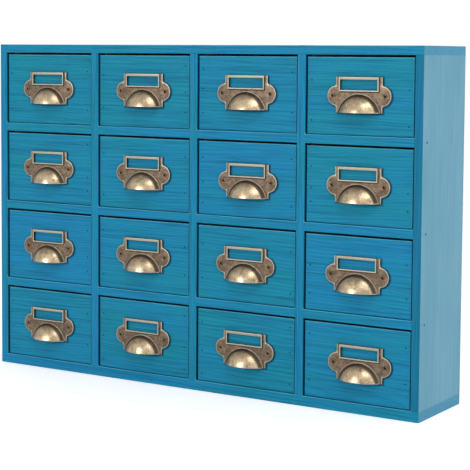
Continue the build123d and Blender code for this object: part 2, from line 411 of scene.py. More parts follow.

# %% [markdown]
# ## Where the stain ends
#
# The boards were stained after the case was nailed. Inside it the stain stops a finger's width behind the
# front, in an uneven brushed line, and in the narrow gaps round the drawers the colour is darkened almost to
# navy as painted shade. One board is seen on several faces at once, so its faces aren't given materials of
# their own. Masks work out from the position whether a point lies in a gap, inside the case or on the outer
# side.

# %% Masks for the boards
# Depths over which the gaps get painted shade.
GAP_SHADE_DEPTH = (0.4 * MM, 1.6 * MM)
PLATE_SHADOW_SHARE = 0.95
FRONT_UNCOVERED = (front_size.y - 1.0 * MM, front_size.y - 0.2 * MM)
STAIN_REACH = 13 * MM
STAIN_WANDER = 4 * MM
STAIN_END = (-0.6 * MM, 0.6 * MM)
INNER_FACE = (-0.5 * MM, -0.2 * MM)
OUTER_FACE = (0.5 * MM, 0.1 * MM)


def front_masks(tree, axes, depth, pull):
    """Where a drawer front has painted shade in its gaps and round the plate, and where it is bare."""
    plate_shadow = times(tree, painted_plate_shadow(tree, axes, *pull), PLATE_SHADOW_SHARE)
    painted_shade = calc(tree, "MAXIMUM", fade(tree, depth, *GAP_SHADE_DEPTH), plate_shadow)
    return painted_shade, fade(tree, depth, *FRONT_UNCOVERED)


def case_masks(tree, position, axes, depth):
    """Where a board of the case has painted shade in the gaps, where it is bare, and where it is an outer
    side.
    """
    from_side = less(tree, case_high.x, unsigned(tree, axes["X"]))
    under_top = less(tree, ceiling, axes["Z"])
    over_foot = less(tree, axes["Z"], lowest_floor)
    between = calc(tree, "MINIMUM", under_top, over_foot)
    behind_board = calc(tree, "MINIMUM", less(tree, from_side, side_thickness), between)
    in_case = fade(tree, behind_board, *INNER_FACE)
    brushed = noise(tree, position, (60, 60, 60), detail=3)
    reach = calc(tree, "MULTIPLY_ADD", brushed, 2 * STAIN_WANDER, STAIN_REACH - STAIN_WANDER)
    past_stain = fade(tree, less(tree, depth, reach), *STAIN_END)
    painted_shade = times(tree, fade(tree, depth, *GAP_SHADE_DEPTH), in_case)
    return painted_shade, times(tree, past_stain, in_case), fade(tree, from_side, *OUTER_FACE)


print("stain reaches", round(STAIN_REACH / MM), "mm into the case")

# %% [markdown]
# ## Worn and highlit edges on the boards
#
# The light line is strongest on the top edge of a drawer front and on the edge under each opening, where
# hands and drawers rub and where a painted highlight stands for the light from above. It is weaker on the
# right, where fingers brush by and a weaker painted highlight is added, and hardly shows elsewhere. One
# strength for all edges would look like an outline drawn round every drawer.

# %% Wear and painted highlight on the boards
EDGE_LINE_WIDTH = 1.1 * MM
EDGE_LINE_NEAR = (3 * MM, 1 * MM)
EDGE_LINE_AT_RIGHT = 0.3
EDGE_LINE_ELSEWHERE = 0.03
EDGE_LINE_FRONT = 1.0
EDGE_LINE_CASE = 0.6


# Light edge line: part wear, part painted highlight, strongest on edges that face up.
def worn_and_lit_edges(tree, position, edges, depth, strong_edge, share):
    corner = calc(tree, "MAXIMUM", unsigned(tree, edges["Distance"]), depth)
    worn_and_lit = use_group(tree, edge_line_group, {"Position": position, "Distance": corner, "Width": EDGE_LINE_WIDTH})["Wear"]
    on_strong_edge = fade(tree, unsigned(tree, edges[strong_edge]), *EDGE_LINE_NEAR)
    at_right = fade(tree, unsigned(tree, edges["Off right"]), *EDGE_LINE_NEAR)
    elsewhere = calc(tree, "MULTIPLY_ADD", at_right, EDGE_LINE_AT_RIGHT, EDGE_LINE_ELSEWHERE)
    strength = times(tree, calc(tree, "MAXIMUM", on_strong_edge, elsewhere), share)
    return times(tree, worn_and_lit, strength)


print("rubbed edges up to", round(2 * EDGE_LINE_WIDTH / MM, 1), "mm wide")

# %% [markdown]
# ## The stained boards
#
# One function makes every stained finish. It reads the position in the cabinet, turns it so that the grain
# runs the right way, and shifts it by a different amount for each board, so no two boards share a figure.
# The outer sides are painted a pale, streaky blue, a painted sheen for the light that glances off them.
# Twenty-six separate materials could be wired by hand, but they would soon drift apart.

# %% Stained wood
PAINTED_SHADE_NAVY = (0.001, 0.038, 0.085, 1)
# Pale colours of the painted sheen on the outer sides.
SIDE_SHEEN_PALE = (0.180, 0.375, 0.465, 1)
SIDE_SHEEN_STREAK = (0.125, 0.300, 0.400, 1)
PAINTED_SHADE_SHARE = 0.85
STREAK_FIBRES = 0.6
STREAKS = (0.32, 0.70)
GROOVE_FIBRES = -0.7
GROOVE_RINGS = 0.25
WOOD_DEPTH = 0.2 * MM
WOOD_GLOSS = 0.12
ALONG_X = ("X", "Y", "Z")
ALONG_Y = ("Y", "X", "Z")
ALONG_Z = ("Z", "Y", "X")


def board_figure(tree, axes, along, shift, spacing):
    """The grain of a board that was cut with its length along the first of the three axes."""
    turned = place(tree, "CombineXYZ", {i: axes[a] for i, a in enumerate(along)}).outputs[0]
    return use_group(tree, grain, {"Position": turned, "Shift": shift, "Ring spacing": spacing})


def sheen_on_sides(tree, figure):
    """The pale colour of the outer sides, a painted sheen with paler fibres and blotches."""
    blotches = times(tree, figure["Blotches"], 1 - STREAK_FIBRES)
    streaks = calc(tree, "MULTIPLY_ADD", figure["Fibres"], STREAK_FIBRES, blotches)
    return blend(tree, fade(tree, streaks, *STREAKS), SIDE_SHEEN_PALE, SIDE_SHEEN_STREAK)


def stained_wood(name, along, shift, spacing=3.4 * MM, green=0.0, side_sheen=0.0, dark=0.0, pull=None):
    """Stain for a board of the case, or for a drawer front if it says where the pull's lip sits."""
    material, tree = start_material(name)
    position = place(tree, "TexCoord").outputs["Object"]
    axes = place(tree, "SeparateXYZ", {0: position}).outputs
    figure = board_figure(tree, axes, along, shift, spacing)
    half = front_size / 2 if pull else Vector((cell_width, 0, cell_height)) / 2
    outline = {"Position": position, "Half width": half.x, "Half height": half.z,
               "Rise": front_rise if pull else 0.0}
    edges = use_group(tree, grid, outline)
    depth = less(tree, axes["Y"], front_low.y if pull else case_low.y)
    strong_edge, share = ("Below top", EDGE_LINE_FRONT) if pull else ("Above foot", EDGE_LINE_CASE)
    worn_and_lit = worn_and_lit_edges(tree, position, edges, depth, strong_edge, share)
    parts = {part: figure[part] for part in FIGURE}
    blue = use_group(tree, stain, {**parts, "Wear": worn_and_lit, "Green": green})["Color"]
    if pull:
        painted_shade, uncovered = front_masks(tree, axes, depth, pull)
    else:
        painted_shade, uncovered, outer = case_masks(tree, position, axes, depth)
        blue = blend(tree, dark, blue, STAIN_DEEP)
        # Painted sheen: the outer faces turn pale where light would glance off them.
        blue = blend(tree, times(tree, outer, side_sheen), blue, sheen_on_sides(tree, figure))
    # Painted shade: the colour goes almost to navy deep in the gaps and round the plates.
    blue = blend(tree, times(tree, painted_shade, PAINTED_SHADE_SHARE), blue, PAINTED_SHADE_NAVY)
    tan = use_group(tree, bare, parts)["Color"]
    rings = times(tree, figure["Rings"], GROOVE_RINGS)
    grooves = calc(tree, "MULTIPLY_ADD", figure["Fibres"], GROOVE_FIBRES, rings)
    rough = calc(tree, "MULTIPLY_ADD", figure["Fibres"], 0.3, 0.38)
    surface(tree, {"Base Color": blend(tree, uncovered, blue, tan),
                   "Roughness": calc(tree, "MULTIPLY_ADD", uncovered, 0.2, rough),
                   "Normal": engraved(tree, grooves, WOOD_DEPTH),
                   "Specular IOR Level": WOOD_GLOSS})
    return material


print("stained wood ready")

# %% [markdown]
# ## Stain the case
#
# Each board gets its own cut from the tree, drawn from a seeded generator, so the cabinet looks the same on
# every run. The outer sides get the most painted sheen, the top and bottom a little, and the right-hand side
# board is darker on its narrow front edge.

# %% Dress the case
SHEEN_ON_ENDS = 0.35
SHEEN_ON_SIDES = 0.78
RIGHT_SIDE_DARK = 0.45
UPRIGHTS = ("left_side", "right_side", "divider_1", "divider_2", "divider_3")

draw = random.Random(16)


def board_shift(height):
    """Where a board was cut: along the trunk, then how far behind and above the face the heart lies."""
    along = draw.uniform(-3, 3)
    behind = draw.uniform(0.03, 0.08)
    above = draw.choice((-1, 1)) * draw.uniform(0.02, 0.09)
    return along, behind, above - height


sheen_by_board = {"top_board": SHEEN_ON_ENDS, "bottom_board": SHEEN_ON_ENDS}
sheen_by_board.update({name: SHEEN_ON_SIDES for name in UPRIGHTS})
sheen_by_board.update({"shelf_row_1": 0.0, "shelf_row_2": 0.0, "shelf_row_3": 0.0})
for name, side_sheen in sheen_by_board.items():
    upright = name in UPRIGHTS
    along = ALONG_Z if upright else ALONG_X
    shift = board_shift(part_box(name)[0][0 if upright else 2])
    dark = RIGHT_SIDE_DARK if name == "right_side" else 0.0
    dress(name, stained_wood("Stain on " + name, along, shift, side_sheen=side_sheen, dark=dark))
print("stained boards", len(sheen_by_board))

# %% [markdown]
# ## Stain the drawer fronts
#
# The fronts come from different boards, so the width of their rings and the green in their stain differ. The
# top row has taken more green than the rest. Each front also needs to know where its pull sits, for the
# painted shadow round the plate.

# %% Dress the drawer fronts
GREEN_SPREAD = 0.3
GREEN_TOP_ROW = 0.5
GREEN_BELOW = 0.05
RING_SPACING = (2.6, 4.4)

for row, column in DRAWERS:
    name = f"drawer_front_r{row}c{column}"
    low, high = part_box(name)
    pull_low, pull_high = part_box(f"drawer_pull_r{row}c{column}")
    shift = board_shift((low[2] + high[2]) / 2)
    green = draw.uniform(-GREEN_SPREAD, GREEN_SPREAD) + (GREEN_TOP_ROW if row == 1 else GREEN_BELOW)
    spacing = draw.uniform(*RING_SPACING) * MM
    lip = ((pull_low[0] + pull_high[0]) / 2, pull_low[2])
    dress(name, stained_wood("Stain on " + name, ALONG_X, shift, spacing, green, pull=lip))
print("stained fronts", len(DRAWERS))

# %% [markdown]
# ## Bare wood and nail steel
#
# The trays are planed softwood with nothing on it, and the back is thin plywood with a broad, quiet figure.
# Both could have colours of their own, but the grain group already draws a board, so only its rings are
# spaced and weakened. The nails' heads have been stained over and are nearly black, with a dull shine.

# %% Bare wood and steel
TRAY_SPACING = 4.5 * MM
PLY_SPACING = 9 * MM
PLY_CUT = (0.4, 0.05, 0.6)
PLY_RINGS = 0.35
STEEL_BLACK = (0.003, 0.010, 0.018, 1)
STEEL_BLUE = (0.010, 0.026, 0.038, 1)


def bare_wood(name, along, shift, spacing, rings=1.0):
    material, tree = start_material(name)
    axes = place(tree, "SeparateXYZ", {0: place(tree, "TexCoord").outputs["Object"]}).outputs
    figure = board_figure(tree, axes, along, shift, spacing)
    parts = {part: figure[part] for part in FIGURE}
    parts["Rings"] = times(tree, figure["Rings"], rings)
    surface(tree, {"Base Color": use_group(tree, bare, parts)["Color"],
                   "Roughness": calc(tree, "MULTIPLY_ADD", figure["Fibres"], 0.25, 0.5),
                   "Normal": engraved(tree, figure["Fibres"], WOOD_DEPTH)})
    return material


def darkened_steel(name):
    material, tree = start_material(name)
    spots = noise(tree, place(tree, "TexCoord").outputs["Object"], (900, 900, 900), detail=3)
    surface(tree, {"Base Color": blend(tree, fade(tree, spots, 0.35, 0.7), STEEL_BLACK, STEEL_BLUE),
                   "Roughness": calc(tree, "MULTIPLY_ADD", spots, 0.3, 0.55),
                   "Metallic": 0.6, "Specular IOR Level": 0.2})
    return material


steel = darkened_steel("Darkened nail steel")
dress("case_nails", steel)
dress("back_panel", bare_wood("Plywood back", ALONG_X, PLY_CUT, PLY_SPACING, PLY_RINGS))
for row, column in DRAWERS:
    name = f"drawer_tray_r{row}c{column}"
    dress(name, bare_wood("Bare wood of " + name, ALONG_Y, board_shift(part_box(name)[0][2]), TRAY_SPACING))
print("bare trays", len(DRAWERS))

# %% [markdown]
# ## The pull's plate and label frame
#
# The pull is one casting: a flat plate with two ears, a raised frame round the label window and a domed cup.
# The flat parts could be modelled from boxes and cylinders with many booleans. They are drawn as closed
# curves instead and given a thickness and a small bevel, the way a pattern maker would cut them, and a curve
# leaves its holes open by itself.

# %% Draw the outlines
MOUTH_OVERLAP = 0.5
WINDOW_CORNER = 0.4
FRAME_CORNER = 0.5
HOLE_RADIUS = 1.25


def arc(centre, radius, start, end, count):
    """Points on an arc, from angle start to angle end in degrees, ends included."""
    step = math.radians(end - start) / (count - 1)
    first = math.radians(start)
    return [(centre[0] + radius * math.cos(first + i * step), centre[1] + radius * math.sin(first + i * step))
            for i in range(count)]


def ear_side():
    """The right edge of the plate from the lip to the top: straight, shoulder, ear, shoulder, straight."""
    half = PLATE_WIDTH / 2
    ear_x = EAR_REACH - EAR_RADIUS
    run = half + SHOULDER - ear_x
    rise = math.sqrt((EAR_RADIUS + SHOULDER) ** 2 - run ** 2)
    lean = math.degrees(math.atan2(rise, run))
    edge = [(half, 0)]
    edge += arc((half + SHOULDER, EAR_HEIGHT - rise), SHOULDER, 180, 180 - lean, 6)
    edge += arc((ear_x, EAR_HEIGHT), EAR_RADIUS, -lean, lean, 40)
    edge += arc((half + SHOULDER, EAR_HEIGHT + rise), SHOULDER, 180 + lean, 180, 6)
    return edge + [(half, PULL_HEIGHT)]


def plate_outline():
    """Both sides of the plate and the arched mouth under the cup."""
    right = ear_side()
    left = [(-x, z) for x, z in reversed(right)]
    opening = MOUTH_RADIUS + MOUTH_OVERLAP
    start = math.degrees(math.asin(-CUP_AXIS / opening))
    return right + left + arc((0, CUP_AXIS), opening, 180 - start, start, 40)


def rectangle(width, foot, top, corner):
    """A rectangle centred on the pull, with its corners rounded."""
    side = width / 2
    points = []
    for x, z, start in ((side - corner, foot + corner, -90), (side - corner, top - corner, 0),
                        (corner - side, top - corner, 90), (corner - side, foot + corner, 180)):
        points += arc((x, z), corner, start, start + 90, 4)
    return points


window = rectangle(WINDOW_WIDTH, WINDOW_TOP - WINDOW_HEIGHT, WINDOW_TOP, WINDOW_CORNER)
screw_holes = [arc((hand * SCREW_SPAN / 2, EAR_HEIGHT), HOLE_RADIUS, 0, 337.5, 16) for hand in (-1, 1)]
frame_outline = rectangle(FRAME_WIDTH, PULL_HEIGHT - FRAME_HEIGHT, PULL_HEIGHT, FRAME_CORNER)
print("outlines", len(plate_outline()), len(window), len(frame_outline), "points")

# %% [markdown]
# ## Cut the flat parts
#
# A 2D curve is filled between its outlines, so the window and the screw holes come out open. Its bevel grows
# outwards, and the offset takes that back, so the parts keep their size. The curve is then turned into a
# mesh and stood up against the wood.

# %% Cut the plate and the frame
PLATE_BEVEL = 0.4
FRAME_BEVEL = 0.35
WELD = 0.005


def put(name, data):
    thing = bpy.data.objects.new(name, data)
    bpy.context.scene.collection.objects.link(thing)
    return thing


def made_mesh(work, name):
    """The mesh of a finished bmesh."""
    mesh = bpy.data.meshes.new(name)
    work.to_mesh(mesh)
    work.free()
    return mesh


def finished_mesh(thing):
    """The mesh that an object has once its curve or its modifiers have been worked out."""
    bpy.context.view_layer.update()
    return bpy.data.meshes.new_from_object(thing.evaluated_get(bpy.context.evaluated_depsgraph_get()))


def cut_sheet(name, outlines, thickness, bevel):
    """A sheet of metal on the wood, cut to closed outlines in millimetres, with its edges rounded."""
    curve = bpy.data.curves.new(name, "CURVE")
    curve.dimensions = "2D"
    curve.fill_mode = "BOTH"
    curve.extrude = (thickness / 2 - bevel) * MM
    curve.bevel_depth = bevel * MM
    curve.bevel_resolution = 2
    curve.offset = -bevel * MM
    for outline in outlines:
        spline = curve.splines.new("POLY")
        spline.points.add(len(outline) - 1)
        for point, (x, z) in zip(spline.points, outline):
            point.co = (x * MM, z * MM, 0, 1)
        spline.use_cyclic_u = True
    drawn = put(name, curve)
    mesh = finished_mesh(drawn)
    bpy.data.objects.remove(drawn)
    stand_up = Matrix.Rotation(math.radians(90), 4, "X")
    mesh.transform(Matrix.Translation((0, -thickness / 2 * MM, 0)) @ stand_up)
    clean = bmesh.new()
    clean.from_mesh(mesh)
    bmesh.ops.remove_doubles(clean, verts=clean.verts, dist=WELD * MM)
    bmesh.ops.recalc_face_normals(clean, faces=clean.faces)
    clean.to_mesh(mesh)
    clean.free()
    return mesh


plate_mesh = cut_sheet("plate", [plate_outline(), window] + screw_holes, PLATE_THICKNESS, PLATE_BEVEL)
frame_mesh = cut_sheet("frame", [frame_outline, window], FRAME_DEPTH, FRAME_BEVEL)
print("plate", len(plate_mesh.polygons), "frame", len(frame_mesh.polygons), "faces")

# %% [markdown]
# ## The cup's profile
#
# Cut through its middle, the cup shows a flat rim, a sloping band and a shallow dome, all of one thin wall.
# A squashed sphere would have neither rim nor band. The profile is a closed loop of points (radius, depth),
# and cutting its corners twice rounds it as a casting is rounded.

# %% Cup profile
CROWN_STEPS = 9
AXIS_GAP = 1.5
PLATE_BACK = 0.3
CORNER_CUTS = 2


def softened(points, rounds):
    for _ in range(rounds):
        following = points[1:] + points[:1]
        points = [tuple(a + (b - a) * share for a, b in zip(p, q)) for p, q in zip(points, following)
                  for share in (0.25, 0.75)]
    return points


def crown_points(radius, shoulder_depth, crown_depth):
    """Points up a shallow dome from its shoulder to near the axis."""
    rise = crown_depth - shoulder_depth
    ball = (radius ** 2 + rise ** 2) / (2 * rise)
    return [(r, crown_depth - ball + math.sqrt(ball ** 2 - r ** 2))
            for r in (radius * (1 - i / CROWN_STEPS) for i in range(CROWN_STEPS))]


def cup_profile():
    rim = CUP_RADIUS - RIM_WIDTH
    outside = [(CUP_RADIUS, PLATE_BACK), (CUP_RADIUS, 1.6), (CUP_RADIUS - 0.1, RIM_DEPTH),
               (rim + 0.1, RIM_DEPTH), (rim - 0.3, RIM_DEPTH + 0.3), (rim - 1.6, RIM_DEPTH + 2.3)]
    outside += crown_points(SHOULDER_RADIUS, BAND_DEPTH, CUP_DEPTH)
    outside += [(AXIS_GAP, CUP_DEPTH)]
    inside = crown_points(SHOULDER_RADIUS - CUP_WALL / 2, BAND_DEPTH - CUP_WALL, CUP_DEPTH - CUP_WALL)
    inside += [(AXIS_GAP, CUP_DEPTH - CUP_WALL)]
    return outside + inside[::-1] + [(MOUTH_RADIUS, PLATE_THICKNESS), (MOUTH_RADIUS, PLATE_BACK)]


profile = softened(cup_profile(), CORNER_CUTS)
print("cup profile", len(profile), "points")

# %% [markdown]
# ## Turn the cup
#
# The profile is swung round an axis just below the lip, as on a lathe, and then cut off flat at the lip. A
# screw modifier could swing it too. Building the rings in a bmesh lets the same step cut the lip, close it
# and round its edge.

# %% Turn and cut the cup
CUP_TURNS = 128
LIP_ROUNDING = 0.3


def turned_cup():
    work = bmesh.new()
    rings = []
    for i in range(CUP_TURNS):
        angle = 2 * math.pi * i / CUP_TURNS
        rings.append([work.verts.new((r * math.cos(angle) * MM, -d * MM,
                                      (CUP_AXIS + r * math.sin(angle)) * MM)) for r, d in profile])
    for ring, after in zip(rings, rings[1:] + rings[:1]):
        for k in range(len(profile)):
            j = (k + 1) % len(profile)
            work.faces.new((ring[k], after[k], after[j], ring[j]))
    everything = work.verts[:] + work.edges[:] + work.faces[:]
    cut = bmesh.ops.bisect_plane(work, geom=everything, plane_co=(0, 0, 0), plane_no=(0, 0, -1),
                                 clear_outer=True)
    lip = [e for e in cut["geom_cut"] if isinstance(e, bmesh.types.BMEdge)]
    filled = bmesh.ops.contextual_create(work, geom=lip)["faces"]
    bmesh.ops.recalc_face_normals(work, faces=work.faces)
    bmesh.ops.bevel(work, geom=[e for face in filled for e in face.edges], offset=LIP_ROUNDING * MM,
                    segments=2, affect="EDGES", profile=0.5)
    return made_mesh(work, "cup")


cup_mesh = turned_cup()
print("cup", len(cup_mesh.polygons), "faces")

# %% [markdown]
# ## Join plate, frame and cup
#
# The real pull is cast in one piece, so its parts must meet without a seam. Left as three meshes they would
# only pass through each other. A boolean modifier makes one closed skin of them, and the sixteen pulls share
# that mesh.

# %% Join the pull
PULL_SHARP = 38


def carved(name, first, others, operation):
    """The mesh that is left when the others are joined to the first one, or cut out of it."""
    base = put(name, first)
    helpers = [put(mesh.name, mesh) for mesh in others]
    for helper in helpers:
        step = base.modifiers.new("step", "BOOLEAN")
        step.operation = operation
        step.solver = "EXACT"
        step.object = helper
    result = finished_mesh(base)
    for scrap in helpers + [base]:
        bpy.data.objects.remove(scrap)
    result.name = name
    return result


def smoothed(mesh, sharpest):
    """Smooth shading, except over edges that turn by more than sharpest degrees."""
    for polygon in mesh.polygons:
        polygon.use_smooth = True
    mesh.set_sharp_from_angle(angle=math.radians(sharpest))
    return mesh


pull_mesh = smoothed(carved("pull", plate_mesh, [frame_mesh, cup_mesh], "UNION"), PULL_SHARP)
print("pull", len(pull_mesh.vertices), "vertices")

# %% [markdown]
# ## The parts of the pull, as masks
#
# The brass differs from part to part: the crown is rubbed, the band round it is sheltered, painted shade
# darkens the top of the crown, the walls between the faces and a line under the frame, and the screws are
# dark in the middle. The parts could be separate materials on separate faces, but the borders would be hard.
# The pull's own coordinates tell the parts apart, and every mask has a soft edge. Each pair below says where
# a mask starts and where it is full, in millimetres: across the plate, up it, or, where the name says depth,
# out from the wood.

# %% Edges of the parts
CUP_EDGE = (CUP_RADIUS + 0.4, CUP_RADIUS - 0.2)
CUP_FOOT_DEPTH = (RIM_DEPTH + 0.2, RIM_DEPTH + 0.8)
CROWN_EDGE = (SHOULDER_RADIUS + 1.6, SHOULDER_RADIUS - 0.8)
# Height over which painted shade darkens the crown towards its top.
CROWN_SHADE_HEIGHT = (CUP_HEIGHT * 0.35, CUP_HEIGHT * 0.95)
LIP_HEIGHT = (1.0, 0.3)
RIM_MIDDLE = CUP_RADIUS - 0.5
RIM_HALF = (0.7, 0.4)
RIM_FACE_DEPTH = (PLATE_THICKNESS + 0.3, RIM_DEPTH - 0.1)
PLATE_EDGE = (-1.3, -0.5)
PLATE_FACE_DEPTH = (1.0, 1.4)
PLATE_WALL_DEPTH = (1.1, 0.8)
FRAME_FACE_DEPTH = (FRAME_DEPTH - 0.25, FRAME_DEPTH - 0.05)
FRAME_FOOT_DEPTH = (1.65, 1.8)
FRAME_TOP_DEPTH = (2.75, 2.5)
FRAME_SIDE = (FRAME_WIDTH / 2 + 1.0, FRAME_WIDTH / 2 + 0.5)
# The line under the frame is a painted shadow.
UNDER_FRAME_MIDDLE = PULL_HEIGHT - FRAME_HEIGHT - 0.4
UNDER_FRAME_HALF = (0.8, 0.3)
UNDER_FRAME_SIDE = (FRAME_WIDTH / 2 + 0.3, FRAME_WIDTH / 2 - 0.3)
SCREW_DOT_EDGE = (1.4, 0.9)
SCREW_FACE_DEPTH = (PLATE_THICKNESS + 0.05, PLATE_THICKNESS + 0.2)
UNDER_FRAME_SHARE = 0.8
WALL_SHADE_SHARE = 0.9
print("shoulder radius", round(SHOULDER_RADIUS, 2), "mm")

# %% Masks for the pull
def both(tree, first, *others):
    """1 only where all the masks are."""
    for other in others:
        first = times(tree, first, other)
    return first


def either(tree, first, *others):
    """1 where any of the masks is."""
    for other in others:
        first = calc(tree, "MAXIMUM", first, other)
    return first


def stripe(tree, value, middle, half):
    """1 near the middle, fading out over the pair of half widths."""
    return fade(tree, unsigned(tree, less(tree, value, middle)), *half)


def pull_masks(tree, position):
    axes = place(tree, "SeparateXYZ", {0: position}).outputs
    depth = calc(tree, "DIVIDE", times(tree, axes["Y"], -1.0), MM)
    level = calc(tree, "DIVIDE", axes["Z"], MM)
    aside = unsigned(tree, calc(tree, "DIVIDE", axes["X"], MM))
    radius = away(tree, aside, level, 0.0, CUP_AXIS)
    within_cup = fade(tree, radius, *CUP_EDGE)
    off_cup = less(tree, 1.0, within_cup)
    on_cup = both(tree, fade(tree, depth, *CUP_FOOT_DEPTH), within_cup)
    crown = both(tree, fade(tree, radius, *CROWN_EDGE), on_cup)
    past_plate = less(tree, aside, PLATE_WIDTH / 2)
    edge = calc(tree, "MINIMUM", outside_ear(tree, aside, level), past_plate)
    # The frame's walls, the line under the frame and the plate's walls get painted shade.
    frame_wall = both(tree, fade(tree, depth, *FRAME_FOOT_DEPTH), fade(tree, depth, *FRAME_TOP_DEPTH),
                      fade(tree, aside, *FRAME_SIDE), off_cup)
    under_frame = both(tree, stripe(tree, level, UNDER_FRAME_MIDDLE, UNDER_FRAME_HALF),
                       fade(tree, aside, *UNDER_FRAME_SIDE), off_cup, UNDER_FRAME_SHARE)
    plate_wall = both(tree, fade(tree, depth, *PLATE_WALL_DEPTH), off_cup)
    screw_dot = both(tree, fade(tree, away(tree, aside, level, SCREW_SPAN / 2, EAR_HEIGHT), *SCREW_DOT_EDGE),
                     fade(tree, depth, *SCREW_FACE_DEPTH))
    painted_wall_shade = both(tree, either(tree, under_frame, plate_wall, frame_wall), WALL_SHADE_SHARE)
    return {
        "crown": crown,
        "band": less(tree, on_cup, crown),
        "painted crown shade": both(tree, crown, fade(tree, level, *CROWN_SHADE_HEIGHT)),
        "lip": both(tree, fade(tree, level, *LIP_HEIGHT), on_cup),
        "rim": both(tree, stripe(tree, radius, RIM_MIDDLE, RIM_HALF), fade(tree, depth, *RIM_FACE_DEPTH)),
        "frame face": both(tree, fade(tree, depth, *FRAME_FACE_DEPTH), off_cup),
        "plate edge": both(tree, fade(tree, edge, *PLATE_EDGE), fade(tree, depth, *PLATE_FACE_DEPTH)),
        "painted shade and screw dots": either(tree, screw_dot, painted_wall_shade),
    }


print("pull masks ready")

# %% [markdown]
# ## Aged brass
#
# Old brass is dark and pinkish brown where nothing touches it and bright where hands and drawers rub it. The
# crown is a mottle of cream and olive, with painted shade towards its top, the band round it is dark, and the
# frame's face, the lip and the outermost edge of the plate are rubbed to pale metal. Painted shade darkens
# the walls between the faces, and the middle of each screw head is dark. A plain gold metal would look new,
# and each pull adds its own random value to the noise, so no two are tarnished alike.

# %% Brass material
BRASS_CREAM = (0.530, 0.410, 0.260, 1)
BRASS_OLIVE = (0.128, 0.096, 0.056, 1)
BRASS_BROWN = (0.092, 0.062, 0.042, 1)
BRASS_PINK = (0.200, 0.146, 0.096, 1)
BRASS_PALE = (0.370, 0.350, 0.285, 1)
BRASS_DARK = (0.022, 0.016, 0.011, 1)
SPECK_SHARE = 0.6
PLATE_CLOUDS = (0.44, 0.58)
CROWN_CLOUDS = (0.34, 0.58)
# The band's patina, and painted shade towards the top of the crown.
PATINA_AND_PAINTED_SHADE = {"painted crown shade": 0.8, "band": 0.8}
RIM_SHARE = 0.3
BRASS_DEPTH = 0.15 * MM


def aged_brass(name):
    material, tree = start_material(name)
    position = place(tree, "TexCoord").outputs["Object"]
    own = place(tree, "ObjectInfo").outputs["Random"]
    moved = place(tree, "VectorMath", {0: position, 1: own}, operation="ADD").outputs[0]
    mask = pull_masks(tree, position)
    specks = noise(tree, moved, (1100, 1100, 1100), detail=4, roughness=0.7)
    patches = noise(tree, moved, (190, 190, 190), detail=4, roughness=0.65)
    clouds = calc(tree, "MULTIPLY_ADD", specks, SPECK_SHARE, times(tree, patches, 1 - SPECK_SHARE))
    plate = blend(tree, fade(tree, clouds, *PLATE_CLOUDS), BRASS_BROWN, BRASS_PINK)
    crown = blend(tree, fade(tree, clouds, *CROWN_CLOUDS), BRASS_OLIVE, BRASS_CREAM)
    colour = blend(tree, mask["crown"], plate, crown)
    for part, share in PATINA_AND_PAINTED_SHADE.items():
        colour = blend(tree, times(tree, mask[part], share), colour, BRASS_DARK)
    rim = times(tree, mask["rim"], RIM_SHARE)
    rubbed = either(tree, rim, mask["frame face"], mask["plate edge"], mask["lip"])
    uneven = calc(tree, "MULTIPLY_ADD", specks, 0.9, 0.35)
    colour = blend(tree, times(tree, rubbed, uneven, clamp=True), colour, BRASS_PALE)
    shine = calc(tree, "MULTIPLY_ADD", mask["crown"], -0.14, 0.36)
    rough = calc(tree, "MULTIPLY_ADD", specks, 0.2, shine)
    # Painted shade on the walls, and the dark middle of each screw head.
    surface(tree, {"Base Color": blend(tree, mask["painted shade and screw dots"], colour, BRASS_DARK),
                   "Metallic": 0.85,
                   "Roughness": calc(tree, "MULTIPLY_ADD", mask["painted shade and screw dots"], 0.3, rough),
                   "Normal": engraved(tree, specks, BRASS_DEPTH)})
    return material


brass = aged_brass("Aged brass")
pull_mesh.materials.clear()
pull_mesh.materials.append(brass)
print("aged brass", len(brass.node_tree.nodes), "nodes")

# %% [markdown]
# ## Pull screws and drawer brads
#
# Each ear takes a small wood screw with a low round head and a cross recess. The drawer fronts are fixed to
# their trays by brads, whose heads are low domes that stand a tenth of a millimetre out of the wood. A
# squashed sphere would do for a brad, but both heads are the same turned button here, and a boolean cuts the
# recess into the larger one, so that it takes a real shadow.

# %% Turn a round head
HEAD_SHARP = 40


def button(name, radius, height, sides=24, rings=5, sink=0.0):
    """A low round head on the wood, its base sink millimetres below the surface."""
    work = bmesh.new()
    loops = []
    steps = [(radius, -sink)] + [(radius * math.cos(t), height * math.sin(t))
                                 for t in (math.pi / 2 * i / rings for i in range(rings))]
    for r, d in steps:
        loops.append([work.verts.new((r * math.cos(a) * MM, -d * MM, r * math.sin(a) * MM))
                      for a in (2 * math.pi * i / sides for i in range(sides))])
    for inner, outer in zip(loops[1:], loops):
        for i in range(sides):
            j = (i + 1) % sides
            work.faces.new((outer[i], outer[j], inner[j], inner[i]))
    tip = work.verts.new((0, -height * MM, 0))
    for i in range(sides):
        work.faces.new((loops[-1][i], loops[-1][(i + 1) % sides], tip))
    work.faces.new(loops[0][::-1])
    bmesh.ops.recalc_face_normals(work, faces=work.faces)
    return smoothed(made_mesh(work, name), HEAD_SHARP)


brad = button("brad", 0.75, 0.12, sides=16, rings=2, sink=0.3)
print("brad", len(brad.vertices), "vertices")

# %% Cut the screws
SCREW_RADIUS = 2.1
SCREW_HEAD = 1.1
RECESS_LONG = 2.6
RECESS_WIDE = 0.6
RECESS_BAR = 1.4
SCREW_TURNS = {-1: 20, 1: 65}


def recess_bar(width, height):
    """One bar of the cross, centred on the top of the screw's head."""
    work = bmesh.new()
    bmesh.ops.create_cube(work, size=1.0)
    bmesh.ops.scale(work, vec=(width * MM, RECESS_BAR * MM, height * MM), verts=work.verts)
    bmesh.ops.translate(work, vec=(0, -SCREW_HEAD * MM, 0), verts=work.verts)
    return made_mesh(work, "recess")


